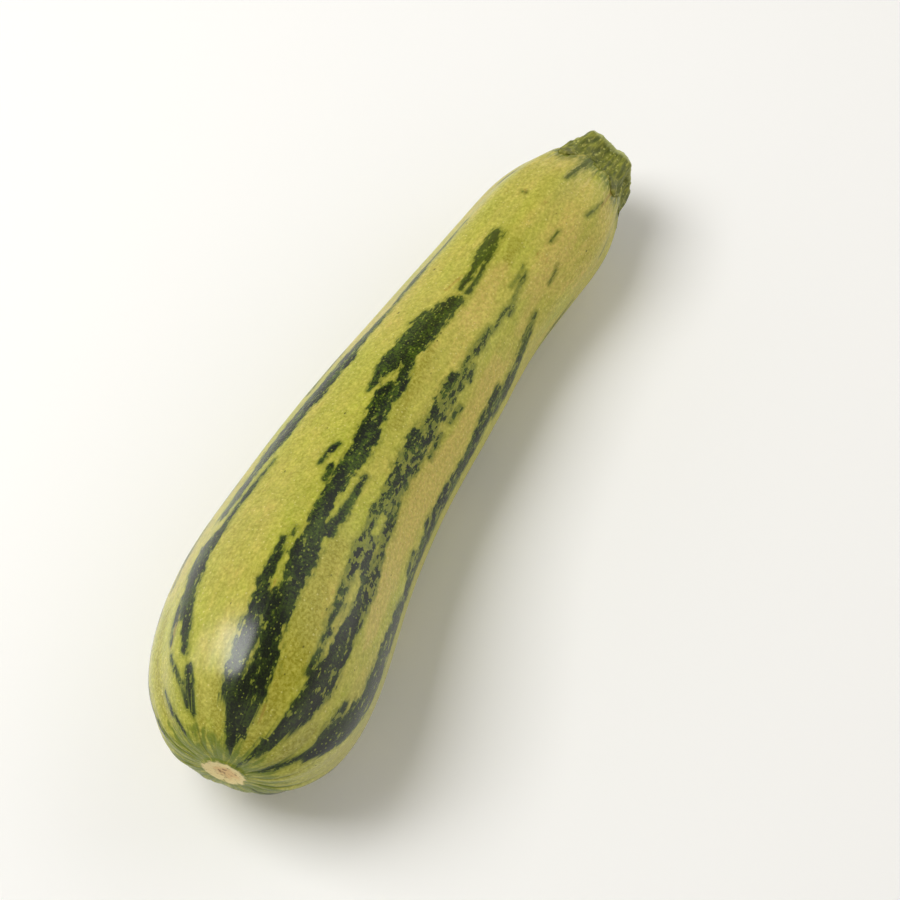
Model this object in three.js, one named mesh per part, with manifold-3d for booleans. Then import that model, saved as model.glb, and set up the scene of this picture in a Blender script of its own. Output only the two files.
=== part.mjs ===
// A striped zucchini, lying as picked: the whole fruit, and the short stub of stalk left on it.
// Millimetres. X runs from the blossom scar to the stalk, Y is to the side, and Z is up.

import * as THREE from "three";
import { mergeVertices } from "three/addons/utils/BufferGeometryUtils.js";
import Module from "manifold-3d";

const wasm = await Module();
wasm.setup();

// Outlines are pairs of distance along the centre line and radius round it.
// The corky disc where the blossom fell: a shallow dish, a low rim, and the groove beside it.
const scarRadius = 5.4;
const scarOutline = [
  [0.4, 0],
  [0.4, 3],
  [0, 4.6],
  [0, scarRadius],
  [0.5, 5.8],
];
const skinOutline = [
  [0.4, 6.6],
  [1.3, 12],
  [5, 17.2],
  [12, 22.3],
  [24, 25.3],
  [40, 25.5],
  [60, 23.5],
  [84, 21.5],
  [110, 19.7],
  [134, 17.6],
  [152, 17.2],
  [165, 16.9],
  [174, 15.2],
  [180, 12.6],
  [184, 10.2],
];
const skinSteps = 39;

// The low dome under the stalk, which closes the skin.
const domeOutline = [
  [186, 6],
  [187, 0],
];

// The centre line: distance along, offset to the side, and height. The fruit bows to one side, and
// its underside rises a little towards both ends, so that it lies on a spot under its weight.
const centreLine = [
  [0, 0, 29],
  [20, 3.2, 28.7],
  [40, 7.1, 27.3],
  [60, 9.4, 24.7],
  [84, 10.5, 22.2],
  [110, 9.3, 21],
  [134, 8.1, 20.1],
  [160, 4.6, 20.2],
  [182, 1.1, 20.8],
  [200, -3, 21.5],
];
const centreSteps = 400;

// Ten low ribs, by their angles in degrees from the +Y side over the top. They stand a little
// higher beside the scar and at the shoulder.
const ribAngles = [20, 50, 92, 128, 166, 202, 230, 258, 298, 340];
const ribHeight = 0.22;
const ribAtScar = 0.3;
const scarReach = 16;
const ribAtShoulder = 0.25;
const shoulderEnd = 186;
const shoulderReach = 20;

// Five soft lobes on the shoulder, one behind each corner of the stalk.
const corners = 5;
const cornerTurn = 69;
const lobeHeight = 0.7;
const lobeMiddle = 175;
const lobeReach = 9;

// The stub of stalk between its corners: the side from its foot to its end, and the cut face.
const stalkFoot = 177;
const stalkOutline = [
  [stalkFoot, 11.2],
  [182, 10.9],
  [185, 9.5],
  [187.5, 8.3],
  [190, 7.8],
  [191.4, 7.8],
  [192, 7.4],
];
const stalkSteps = 10;
const cutRadius = 3.2;
const cutOutline = [
  [191.4, cutRadius],
  [191.4, 0],
];
const cornerHeight = 2.6;

// The flat spot that it rests on is cut this deep into the underside.
const flatDepth = 0.6;
const blockSize = 300;

// The stalk and the fruit touch, with this much kept between the two meshes.
const gap = 0.3;

const aroundFruit = 76;
const aroundStalk = 50;

const { radToDeg, smoothstep } = THREE.MathUtils;
const bell = (distance, reach) => Math.exp(-((distance / reach) ** 2));
const wave = (turns) => Math.cos(2 * Math.PI * turns);
const pointsOf = (outline) => outline.map(([along, radius]) => new THREE.Vector2(radius, along));

const centreSamples = new THREE.CatmullRomCurve3(
  centreLine.map(([along, aside, height]) => new THREE.Vector3(along, aside, height)),
).getPoints(centreSteps);

// A point at a distance along X, and at a radius and an angle round the centre line there.
function placed(along, radius, angle) {
  const next = Math.max(centreSamples.findIndex((sample) => sample.x > along), 1);
  const from = centreSamples[next - 1];
  const to = centreSamples[next];
  const ahead = to.clone().sub(from).normalize();
  const side = new THREE.Vector3(0, 0, 1).cross(ahead).normalize();
  const up = ahead.clone().cross(side);
  return from
    .clone()
    .lerp(to, (along - from.x) / (to.x - from.x))
    .addScaledVector(side, radius * Math.cos(angle))
    .addScaledVector(up, radius * Math.sin(angle));
}

// One on the crest of each rib, and minus one halfway between two ribs.
function ribWave(angle) {
  const turn = (radToDeg(angle) + 360) % 360;
  const above = ribAngles.findIndex((rib) => rib > turn);
  const next = above < 0 ? 0 : above;
  const before = ribAngles.at(next - 1);
  const spacing = (ribAngles[next] - before + 360) % 360;
  return wave(((turn - before + 360) % 360) / spacing);
}

// One on each corner of the stalk, and minus one halfway between two corners.
const cornerWave = (angle) => wave((corners * (radToDeg(angle) - cornerTurn)) / 360);

// How far the ribs and the shoulder's lobes lift the skin. The scar stays flat.
function relief(along, radius, angle) {
  const rib =
    ribHeight +
    ribAtScar * bell(along, scarReach) +
    ribAtShoulder * bell(shoulderEnd - along, shoulderReach);
  const lobe = lobeHeight * bell(along - lobeMiddle, lobeReach);
  const offScar = smoothstep(radius, scarRadius, 2 * scarRadius);
  return offScar * (rib * ribWave(angle) + lobe * cornerWave(angle));
}

// A turned shape with every point moved to its place on the fruit, as a closed solid.
function turned(outline, sides, place) {
  const geometry = new THREE.LatheGeometry(outline, sides);
  const position = geometry.getAttribute("position");
  for (let i = 0; i < position.count; i += 1) {
    const angle = Math.atan2(position.getX(i), position.getZ(i));
    const radius = Math.hypot(position.getX(i), position.getZ(i));
    const moved = place(position.getY(i), radius, angle);
    position.setXYZ(i, moved.x, moved.y, moved.z);
  }
  return solidOf(geometry);
}

function solidOf(geometry) {
  geometry.deleteAttribute("normal");
  geometry.deleteAttribute("uv");
  const merged = mergeVertices(geometry);
  return new wasm.Manifold(
    new wasm.Mesh({
      numProp: 3,
      vertProperties: merged.getAttribute("position").array,
      triVerts: merged.index.array,
    }),
  );
}

// The fruit, grown outwards by a small amount where room is cut for it.
function fruitSolid(grown = 0) {
  const skin = new THREE.SplineCurve(pointsOf(skinOutline)).getPoints(skinSteps);
  const outline = [...pointsOf(scarOutline), ...skin, ...pointsOf(domeOutline)];
  return turned(outline, aroundFruit, (along, radius, angle) => {
    const ahead = along > lobeMiddle ? grown : 0;
    return placed(along + ahead, radius + relief(along, radius, angle) + grown, angle);
  });
}

// The stub of stalk, with its corners raised from a round core.
function stalkSolid() {
  const side = new THREE.SplineCurve(pointsOf(stalkOutline)).getPoints(stalkSteps);
  const outline = [new THREE.Vector2(0, stalkFoot), ...side, ...pointsOf(cutOutline)];
  return turned(outline, aroundStalk, (along, radius, angle) => {
    const corner = cornerHeight * (0.5 + 0.5 * cornerWave(angle));
    return placed(along, radius + corner * smoothstep(radius, cutRadius, 2 * cutRadius), angle);
  });
}

// Everything below a height, as a block to cut away.
function blockBelow(height) {
  const block = new THREE.BoxGeometry(blockSize, blockSize, blockSize);
  return solidOf(block.translate(blockSize / 2, 0, height - blockSize / 2));
}

function meshOf(solid, name, look) {
  const { vertProperties, triVerts } = solid.getMesh();
  const geometry = new THREE.BufferGeometry()
    .setAttribute("position", new THREE.BufferAttribute(vertProperties, 3))
    .setIndex(new THREE.BufferAttribute(triVerts, 1));
  const mesh = new THREE.Mesh(geometry, new THREE.MeshStandardMaterial(look));
  mesh.name = name;
  return mesh;
}

const whole = fruitSolid();
const restHeight = whole.boundingBox().min[2] + flatDepth;
const fruit = meshOf(whole.subtract(blockBelow(restHeight)), "fruit", {
  color: "#b7b45c",
  roughness: 0.4,
  metalness: 0,
});
const stalk = meshOf(stalkSolid().subtract(fruitSolid(gap)), "stalk", {
  color: "#566a2c",
  roughness: 0.6,
  metalness: 0,
});

// The origin is on the surface that it rests on, under the middle of its box.
const zucchini = new THREE.Group();
zucchini.add(fruit, stalk);
const middle = new THREE.Box3().setFromObject(zucchini).getCenter(new THREE.Vector3());
for (const piece of zucchini.children) {
  piece.position.set(-middle.x, -middle.y, -restHeight);
}

export default zucchini;
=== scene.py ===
# %% [markdown]
# # A striped zucchini
# This lesson dresses a plain solid model of a zucchini until it looks picked today: a waxy
# yellow-green skin with ragged dark stripes, a corky blossom scar at the thick end, and a short
# green stub of stalk with a cut face. The solids arrive as a fixed frame in metres, with X running
# from the scar to the stalk and Z up. Nothing here moves or resizes them: finer meshes are laid
# over them, and then they are hidden.

import math

import bpy
import numpy as np
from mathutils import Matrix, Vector, noise


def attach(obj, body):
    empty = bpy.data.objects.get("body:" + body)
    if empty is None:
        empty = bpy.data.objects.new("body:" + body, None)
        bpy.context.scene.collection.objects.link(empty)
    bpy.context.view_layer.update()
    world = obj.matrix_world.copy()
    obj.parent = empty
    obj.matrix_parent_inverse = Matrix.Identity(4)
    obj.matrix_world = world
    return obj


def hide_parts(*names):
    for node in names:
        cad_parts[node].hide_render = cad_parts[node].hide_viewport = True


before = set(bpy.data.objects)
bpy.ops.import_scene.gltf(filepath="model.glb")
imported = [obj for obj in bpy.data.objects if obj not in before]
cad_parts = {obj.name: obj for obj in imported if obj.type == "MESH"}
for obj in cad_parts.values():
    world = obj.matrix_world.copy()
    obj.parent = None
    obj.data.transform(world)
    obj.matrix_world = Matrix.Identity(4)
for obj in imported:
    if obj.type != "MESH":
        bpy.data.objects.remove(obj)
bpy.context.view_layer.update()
MM = 0.001

# %% [markdown]
# The camera comes first, because every later choice is judged through it. It looks down on the
# fruit from the blossom end, as the reference photograph does. A long lens from further off keeps
# the near end from swelling. Its place was worked out from the fruit's outline.

# %% Camera
CAMERA_PLACE = Vector((-224.3, -124.9, 453.5)) * MM
CAMERA_AZIMUTH = -62.96
CAMERA_ELEVATION = 59.85
CAMERA_LENS = 85
CAMERA_SENSOR = 36
NEAREST_SEEN = 0.01

bpy.ops.object.camera_add(location=CAMERA_PLACE)
camera = bpy.context.object
camera.name = "camera"
camera.rotation_euler = (math.radians(90 - CAMERA_ELEVATION), 0, math.radians(CAMERA_AZIMUTH))
camera.data.lens = CAMERA_LENS
camera.data.sensor_width = CAMERA_SENSOR
camera.data.clip_start = NEAREST_SEEN
bpy.context.scene.camera = camera
print("camera at", tuple(round(value, 3) for value in camera.location))

# %% [markdown]
# A grown fruit has no straight axis. Its centre line bows to one side and dips in the middle, so
# everything that follows the fruit, such as ribs and stripes, is placed by a distance along that
# line, an angle round it and a radius. The line itself is one of the few sizes that the solids
# were drawn from, so it is given here again, as a smooth curve through a few places. The radius
# is then measured from the solid, by cutting it with planes square to the line.

# %% The centre line: distance along, offset to the side and height, in mm
CENTRE_LINE = np.array(
    [
        (0, 0, 29), (20, 3.2, 28.7), (40, 7.1, 27.3), (60, 9.4, 24.7),
        (84, 10.5, 22.2), (110, 9.3, 21), (134, 8.1, 20.1), (160, 4.6, 20.2),
        (182, 1.1, 20.8), (200, -3, 21.5),
    ]
)
# The solids were moved by this much after they were drawn, to put the origin under their middle.
LINE_ZERO = np.array((-96.74, -5.84, -1.35))
LINE_DEGREE = 7

line_mm = CENTRE_LINE + LINE_ZERO
side_line, up_line = (
    np.polynomial.Polynomial.fit(line_mm[:, 0], line_mm[:, column], LINE_DEGREE) for column in (1, 2)
)
side_slope, up_slope = side_line.deriv(), up_line.deriv()
scar_x = line_mm[0, 0] * MM


def centre(x):
    """Points on the centre line, by their place along X."""
    x = np.atleast_1d(x) / MM
    return np.stack([x, side_line(x), up_line(x)], axis=-1) * MM


def axes(x):
    """The directions ahead, to the side and up at places along the centre line."""
    x = np.atleast_1d(x) / MM
    ahead = np.stack([np.ones_like(x), side_slope(x), up_slope(x)], axis=-1)
    ahead /= np.linalg.norm(ahead, axis=1)[:, None]
    side = np.cross((0, 0, 1), ahead)
    side /= np.linalg.norm(side, axis=1)[:, None]
    return ahead, side, np.cross(ahead, side)


print("the line bows", round(float(np.ptp(line_mm[:, 1])), 1), "mm to the side")

# %% [markdown]
# The radius could be typed in too, but a measured one can't go wrong: a plane is set square to the
# line, every edge of the solid that crosses it is cut there, and the cuts' distances from the line
# are averaged.

# %% Measure the fruit's radius along its line
THICKEST_AT = 36
NECK_AT = 150


def points_of(mesh):
    flat = np.empty(len(mesh.vertices) * 3)
    mesh.vertices.foreach_get("co", flat)
    return flat.reshape(-1, 3)


def edges_of(mesh):
    ends = np.empty(len(mesh.edges) * 2, int)
    mesh.edges.foreach_get("vertices", ends)
    return points_of(mesh)[ends].reshape(-1, 2, 3)


def radius_at(x, edges):
    """The mean distance from the centre line to the solid's edges, where a square plane cuts."""
    middle, ahead = centre(x)[0], axes(x)[0][0]
    height = (edges - middle) @ ahead
    crossed = (height[:, 0] < 0) != (height[:, 1] < 0)
    first, last = edges[crossed, 0], edges[crossed, 1]
    share = height[crossed, 0] / (height[crossed, 0] - height[crossed, 1])
    return float(np.linalg.norm(first + share[:, None] * (last - first) - middle, axis=1).mean())


fruit_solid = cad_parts["fruit"]
fruit_edges = edges_of(fruit_solid.data)
for part, along_mm in (("thickest", THICKEST_AT), ("neck", NECK_AT)):
    print(part, round(2 * radius_at(scar_x + along_mm * MM, fruit_edges) / MM, 1), "mm thick")

# %% [markdown]
# Both pieces are built as rings of points, one extruded from the last, the way a gourd is
# modelled by hand: a circle is added at one end, and each ring is pulled out of the one before,
# moved, scaled and turned into place. A lathe would be quicker, but it can't follow a bowed line.

# %% Ring modelling helpers
HARDLY_ANY = 1e-6


def deselect_everything():
    if bpy.context.object and bpy.context.object.mode != "OBJECT":
        bpy.ops.object.mode_set(mode="OBJECT")
    bpy.ops.object.select_all(action="DESELECT")


def only(piece):
    """Make a piece the only selected object, and the active one."""
    deselect_everything()
    piece.select_set(True)
    bpy.context.view_layer.objects.active = piece
    return piece


def turn(angle, axis, middle):
    """Turn what is selected. With no window, the operator turns the other way, hence the minus."""
    if abs(angle) > HARDLY_ANY:
        bpy.ops.transform.rotate(value=-angle, orient_axis=axis, center_override=middle)


def heading_and_pitch(x):
    ahead = axes(x)[0][0]
    return math.atan2(ahead[1], ahead[0]), -math.asin(ahead[2])


def first_ring(name, x, radius, around):
    """A circle round the centre line, facing along it, left in edit mode with all selected."""
    deselect_everything()
    middle = centre(x)[0]
    bpy.ops.mesh.primitive_circle_add(
        vertices=around, radius=radius, location=middle, rotation=(0, math.pi / 2, 0)
    )
    piece = bpy.context.object
    piece.name = piece.data.name = name
    bpy.ops.object.transform_apply(location=True, rotation=True, scale=True)
    bpy.ops.object.mode_set(mode="EDIT")
    bpy.ops.mesh.select_all(action="SELECT")
    heading, pitch = heading_and_pitch(x)
    turn(pitch, "Y", middle)
    turn(heading, "Z", middle)
    return piece


def next_ring(x_before, radius_before, x, radius):
    """Extrude the selected ring, then move, scale and turn the new one into place."""
    middle = centre(x)[0]
    step = middle - centre(x_before)[0]
    bpy.ops.mesh.extrude_region_move(TRANSFORM_OT_translate={"value": tuple(step)})
    size = radius / radius_before
    bpy.ops.transform.resize(value=(size, size, size), center_override=middle)
    heading, pitch = heading_and_pitch(x)
    heading_before, pitch_before = heading_and_pitch(x_before)
    turn(pitch - pitch_before, "Y", middle)
    turn(heading - heading_before, "Z", middle)


def close_end():
    """Extrude the selected ring once more and draw its points together into one."""
    bpy.ops.mesh.extrude_region_move(TRANSFORM_OT_translate={"value": (0, 0, 0)})
    bpy.ops.mesh.merge(type="CENTER")


def ringed_piece(name, rings, around):
    """A closed piece from rings of (place along X, radius), with a point at each end."""
    piece = first_ring(name, *rings[0], around)
    close_end()
    bpy.ops.object.mode_set(mode="OBJECT")
    order = np.linalg.norm(points_of(piece.data) - centre(rings[0][0]), axis=1)
    for vertex in piece.data.vertices:
        vertex.select = bool(order[vertex.index] > rings[0][1] / 2)
    bpy.ops.object.mode_set(mode="EDIT")
    for before, ring in zip(rings, rings[1:]):
        next_ring(*before, *ring)
    close_end()
    bpy.ops.mesh.select_all(action="SELECT")
    bpy.ops.mesh.remove_doubles(threshold=HARDLY_ANY)
    bpy.ops.mesh.normals_make_consistent(inside=False)
    bpy.ops.object.mode_set(mode="OBJECT")
    return piece


def apply_modifier(piece, kind, **settings):
    only(piece)
    modifier = piece.modifiers.new(kind.title(), kind)
    for name, value in settings.items():
        setattr(modifier, name, value)
    bpy.ops.object.modifier_apply(modifier=modifier.name)


# %% [markdown]
# The fruit is one grown body: skin, flesh and the scar of the blossom. Its rings stand close
# together where the shape turns quickly, at the scar and at the shoulder, and a few millimetres
# apart along the belly and the neck. Shrinkwrap then pulls the coarse rings onto the solid, and
# only after that does Subdivision round them. The other order would press the solid's own flat
# facets into the fine mesh, and they would show in every reflection.

# %% Rings of the fruit
FRUIT_AROUND = 76
# Rings are pairs of distance along the centre line and radius, in mm.
END_RINGS = [
    (0.4, 1.6), (0.35, 3.2), (0.1, 4.5), (0, 5.1), (0.1, 5.5), (0.45, 6), (0.45, 7), (0.6, 8.6),
    (0.9, 10.4), (1.3, 12.1), (2.2, 14.2), (3.6, 16),
]
SHOULDER_RINGS = [
    (176, 14.3), (178.5, 13.2), (181, 12), (183.5, 10.4), (185, 8.4), (186, 6), (186.7, 3),
]
BELLY_FIRST = 5.5
BELLY_LAST = 173
BELLY_RINGS = 50

rings = [(scar_x + along * MM, radius * MM) for along, radius in END_RINGS]
for x in scar_x + np.linspace(BELLY_FIRST, BELLY_LAST, BELLY_RINGS) * MM:
    rings.append((x, radius_at(x, fruit_edges)))
rings += [(scar_x + along * MM, radius * MM) for along, radius in SHOULDER_RINGS]

fruit = ringed_piece("zucchini_fruit", rings, FRUIT_AROUND)
print(len(rings), "rings,", len(fruit.data.polygons), "faces in the cage")

# %% Fit the cage to the solid and round it
ROUNDINGS = 2


def fit_and_round(piece, solid):
    """Pull a cage onto its solid, then subdivide it smooth."""
    wrap = {"wrap_method": "NEAREST_SURFACEPOINT", "wrap_mode": "ON_SURFACE"}
    apply_modifier(piece, "SHRINKWRAP", target=solid, **wrap)
    apply_modifier(piece, "SUBSURF", levels=ROUNDINGS, render_levels=ROUNDINGS)
    print(piece.name, "has", len(piece.data.vertices), "points")


fit_and_round(fruit, fruit_solid)

# %% [markdown]
# Stripes, tints and creases all need to know where on the skin a point is. Each point of the fine
# mesh gets its distance along the centre line, its angle round it and its radius. The angle is 0
# on the side that the fruit bows to, and 90 degrees on top. A fourth value is the way to it over
# the skin from the middle of the scar, because near the scar the skin runs outwards and hardly
# along. Streaks are laid out by angle and by that way, so they draw together at both ends, as
# they do on a real fruit, where the pattern is stretched as the fruit swells.

# %% Give every point of the skin its place
FRONT_OF_FRUIT = 6
STREAK_ROUND = 18
STREAK_LENGTH = 0.34
TRIES = 6


def skin_place(points):
    """Distance along in mm, angle in radians and radius in mm of points round the centre line."""
    x = points[:, 0].copy()
    for _ in range(TRIES):
        ahead, side, up = axes(x)
        x += ((points - centre(x)) * ahead).sum(1) * ahead[:, 0]
    ahead, side, up = axes(x)
    off = points - centre(x)
    across, above = (off * side).sum(1), (off * up).sum(1)
    return (x - scar_x) / MM, np.arctan2(above, across), np.hypot(across, above) / MM


def keep_value(piece, name, values):
    kept = piece.data.attributes.new(name, "FLOAT", "POINT")
    kept.data.foreach_set("value", np.asarray(values, np.float32))


def keep_vector(piece, name, vectors):
    kept = piece.data.attributes.new(name, "FLOAT_VECTOR", "POINT")
    kept.data.foreach_set("vector", np.asarray(vectors, np.float32).ravel())


def round_places(angle, radius, height):
    return np.stack([radius * np.cos(angle), radius * np.sin(angle), height], 1)


along, angle, radius = skin_place(points_of(fruit.data))
ring_along, ring_radius = (np.array(rings) - (scar_x, 0)).T / MM
ring_steps = np.hypot(np.diff(ring_along), np.diff(ring_radius))
ring_way = ring_radius[0] + np.append(0, np.cumsum(ring_steps))
front = ring_along < FRONT_OF_FRUIT
way = np.where(
    along < FRONT_OF_FRUIT - 1,
    np.interp(radius, ring_radius[front], ring_way[front]),
    np.interp(along, ring_along[~front], ring_way[~front]),
)
keep_value(fruit, "along", along)
keep_value(fruit, "from_axis", radius)
keep_vector(fruit, "skin_place", round_places(angle, radius, along))
keep_vector(fruit, "streak_place", round_places(angle, STREAK_ROUND, way * STREAK_LENGTH))
print("along up to", along.max().round(1), "mm, radius up to", radius.max().round(1), "mm")

# %% [markdown]
# The stripes of this zucchini are not painted bands. Each one is a chain of dark green blotches
# that run together, split into strands round a paler middle, and break up towards the neck. They
# are described as a gardener would sketch them: strands drawn through a few places on the skin,
# each place with half the strand's width. From these, each point of the mesh gets its depth in mm
# inside the nearest strand, negative outside. Noise in the material later makes the edges ragged,
# at any zoom and without an image.

# %% Strands on the side that shows: (distance along mm, angle degrees, half width mm)
MAIN_STRIPE = [
    [(147.5, 82, 1.6), (144, 83, 1.8), (138, 86, 1.6), (132, 88, 1.2), (128, 88, 0.7)],
    [(144, 87, 1), (139, 90, 0.8), (134, 93, 0.7), (128, 96, 0.6)],
    [(125, 93, 1.2), (123.5, 91, 2.2), (119, 89, 2.6), (114, 87, 3.2), (107, 85, 3.6), (101, 83, 3.2)],
    [(101, 83, 3.2), (96, 81, 1.6), (90, 81, 0.6)],
    [(103, 90, 1.9), (98, 94, 1.6), (94, 97, 1.4), (90, 98, 1)],
    [(117, 79, 0.8), (113, 75, 0.6)],
    [(93, 92, 1.4), (90, 92, 2.2), (84, 95, 2.6), (73, 99, 2.7), (63, 98, 2.2), (58, 97, 1.8)],
    [(58, 97, 1.8), (53, 98, 1.8), (48, 99, 2.2), (43, 100, 3.1), (34, 100, 2.6), (28, 100, 2.4)],
    [(28, 100, 2.4), (22, 100, 2.2), (16, 100, 2.6), (11, 99, 3.4), (8, 98, 3.2)],
    [(8, 98, 3.2), (5, 98, 2.4), (1.5, 99, 0.8)],
    [(67, 109, 0.9), (60, 109, 0.9), (54, 108, 1.3), (48, 106, 1.4)],
    [(72, 86, 0.8), (69, 83, 0.9), (65, 83, 0.6)],
    [(65, 90, 0.8), (61, 91, 0.8)],
    [(46, 90, 0.8), (44, 91, 0.8)],
    [(43, 87, 0.7), (38, 88, 1.1), (33, 88, 1.7), (29, 89, 2), (24, 89, 2.3)],
    [(24, 89, 2.3), (20, 88, 2.6), (14, 87, 2.4), (9, 88, 2), (5, 92, 1)],
    [(31, 94, 0.9), (28, 95, 1.4), (24, 95, 1.4)],
]
SECOND_STRIPE = [
    [(144, 115, 0.4), (143, 118, 0.4), (137, 119, 0.35)],
    [(143, 121, 0.4), (139, 124, 0.6), (135, 127, 0.7), (131, 131, 0.9)],
    [(131, 126, 0.6), (123, 128, 0.4)],
    [(124, 124, 0.8), (118, 125, 1.4), (113, 123, 0.9), (109, 123, 0.7)],
    [(112, 129, 0.7), (108, 132, 0.8)],
    [(109, 125, 1.3), (104, 125, 2.4), (98, 126, 2.5), (91, 126, 2.2), (84, 126, 3), (79, 126, 3.5)],
    [(79, 126, 3.6), (75, 127, 3.2), (70, 127, 2.4), (64, 126, 1.8), (60, 124, 1.4), (53, 124, 1.3)],
    [(53, 124, 1.3), (46, 124, 1.6), (40, 124, 1.4), (34, 125, 1.1), (28, 123, 0.7)],
    [(101, 137, 0.8), (96, 137, 0.8)],
    [(91, 136, 0.8), (84, 137, 0.9)],
    [(53, 128, 1.6), (48, 130, 2), (43, 132, 1.6)],
    [(67, 132, 1.1), (62, 134, 1.4), (55, 135, 1.2), (50, 137, 1.6), (45, 137, 2.2), (40, 137, 2.6)],
    [(40, 137, 2.6), (34, 136, 2.5), (28, 134, 2.4), (22, 134, 2.8), (18, 133, 3.2), (13, 130, 3.2)],
    [(13, 130, 3.2), (9, 127, 2.4), (6, 125, 1.8), (3, 122, 1.2), (1, 120, 0.6)],
    [(27, 125, 0.9), (18, 123, 0.9)],
]
THIRD_STRIPE = [
    [(138, 152, 0.7), (130, 159, 1.5), (125, 164, 1.7), (119, 168, 2), (110, 168, 2.2)],
    [(114, 160, 1.4), (107, 163, 2.4), (94, 168, 2.6), (86, 168, 2.4), (78, 167, 2.4), (70, 167, 2.6)],
    [(70, 167, 2.6), (61, 167, 1.8), (54, 168, 1.6), (47, 168, 1.8)],
    [(61, 160, 0.8), (55, 162, 0.9)],
    [(47, 166, 2.2), (39, 166, 2.8), (30, 166, 3), (22, 166, 3.4), (16, 164, 3.4)],
    [(16, 164, 3.4), (11, 160, 2.6), (7, 156, 1.4)],
    [(17, 153, 1.2), (12, 152, 1.4), (9, 154, 0.9)],
    [(15, 161, 0.7), (10, 156, 0.8), (6, 153, 0.8), (2, 148, 0.8)],
]
LEFT_STRIPE = [
    [(150, 42, 0.5), (140, 42, 0.9), (128, 44, 1.1), (119, 46, 1)],
    [(119, 48, 0.6), (108, 46, 1.6), (99, 46, 2.6), (82, 44, 3.2), (70, 42, 3)],
    [(70, 42, 3), (58, 42, 2.2), (48, 42, 1.4)],
    [(64, 54, 0.5), (58, 53, 0.9), (50, 51, 0.8), (44, 50, 0.9)],
    [(42, 48, 1.8), (39, 46, 3), (34, 45, 2.9), (29, 48, 2.3), (24, 51, 1.8), (20, 54, 1.5), (16, 56, 0.8)],
    [(27, 43, 0.8), (22, 43, 1), (18, 44, 0.7)],
    [(16, 45, 0.6), (13, 50, 0.7), (10, 55, 0.7), (6, 58, 0.6)],
    [(13, 60, 0.8), (11, 61, 1), (8, 62, 0.8), (5, 63, 0.5)],
    [(9, 38, 0.5), (5, 42, 0.8), (1.5, 50, 0.5)],
]
NECK_FLECKS = [
    [(158, 121, 0.35), (154, 121, 0.45)],
    [(151, 139, 0.35), (146, 144, 0.35)],
    [(174, 136, 0.35), (167, 131, 0.4)],
    [(162, 75, 0.45), (162, 78, 0.4)],
    [(186, 101, 1.2), (182, 99, 0.9), (177, 97, 0.8), (172, 96, 0.4)],
]
SHOWN = (MAIN_STRIPE, SECOND_STRIPE, THIRD_STRIPE, LEFT_STRIPE, NECK_FLECKS)
print(sum(map(len, SHOWN)), "strands drawn by hand")

# %% [markdown]
# The stripes on the far side can't be seen in the reference, so six of them are grown by a rule: a
# strand wanders round its rib, in pieces with small gaps, with thin side strands here and there,
# widest near the scar and broken up towards the neck. A fixed seed gives the same stripes each
# time. Short dark fingers also run down from the stalk's hollows that are out of sight.

# %% Strands on the hidden side, and the dark fingers that run from the stalk
HIDDEN_RIBS = [16, 202, 231, 262, 298, 334]
STALK_VALLEYS = [33, 177, 249, 321]
STRIPES_END = 148
NECK_STARTS = 110
STRAND_LENGTHS = (14, 42)
STRAND_HALF_WIDTHS = (1.1, 3.1)
SIDE_STRAND_SHARE = 0.7
SIDE_STRAND_ANGLES = (8, 11)
SIDE_STRAND_HALF_WIDTHS = (0.4, 1.3)
FINGER_HALF_WIDTHS = (1.2, 0.9, 0.7, 0.3)


def grown_stripe(rib, seed):
    """Strands of a stripe that wanders along a rib."""
    draw = np.random.default_rng(seed)
    strands = []
    at = 2.0
    while at < STRIPES_END:
        length = draw.uniform(*STRAND_LENGTHS) * (1 if at < NECK_STARTS else 0.5)
        places = np.linspace(at, at + length, max(3, int(length / 6)))
        thinner = np.clip(1.25 - places / 150, 0.3, 1)
        middle = rib + 4 * np.sin(places / 17 + rib) + draw.uniform(-2, 2, len(places))
        half = draw.uniform(*STRAND_HALF_WIDTHS, len(places)) * thinner
        half[[0, -1]] *= 0.4
        strands.append(list(zip(places, middle, half)))
        if draw.random() < SIDE_STRAND_SHARE:
            beside = middle[:3] + draw.choice([-1, 1]) * draw.uniform(*SIDE_STRAND_ANGLES)
            beside = beside + draw.uniform(-1.5, 1.5, 3)
            thin = draw.uniform(*SIDE_STRAND_HALF_WIDTHS, 3) * (0.5, 1, 0.4)
            strands.append(list(zip(places[:3], beside, thin)))
        at += length + draw.uniform(-2, 4)
    return strands


def stalk_finger(valley, seed):
    """A dark streak from a valley of the stalk down onto the shoulder."""
    draw = np.random.default_rng(seed)
    end = 181 - draw.uniform(10, 20)
    places = np.linspace(187, end, 4)
    return list(zip(places, valley + draw.uniform(-2, 2, 4), FINGER_HALF_WIDTHS))


hidden_strands = []
for seed, rib in enumerate(HIDDEN_RIBS):
    hidden_strands += grown_stripe(rib, seed)
finger_strands = [stalk_finger(valley, seed) for seed, valley in enumerate(STALK_VALLEYS)]
print(len(hidden_strands), "strands grown on the hidden side")

# %% [markdown]
# Other marks are softer. Olive and rust tints lie between the stripes, most of them near the scar,
# and a few fine brown lines are healed scratches. They are drawn as strands too.

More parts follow.
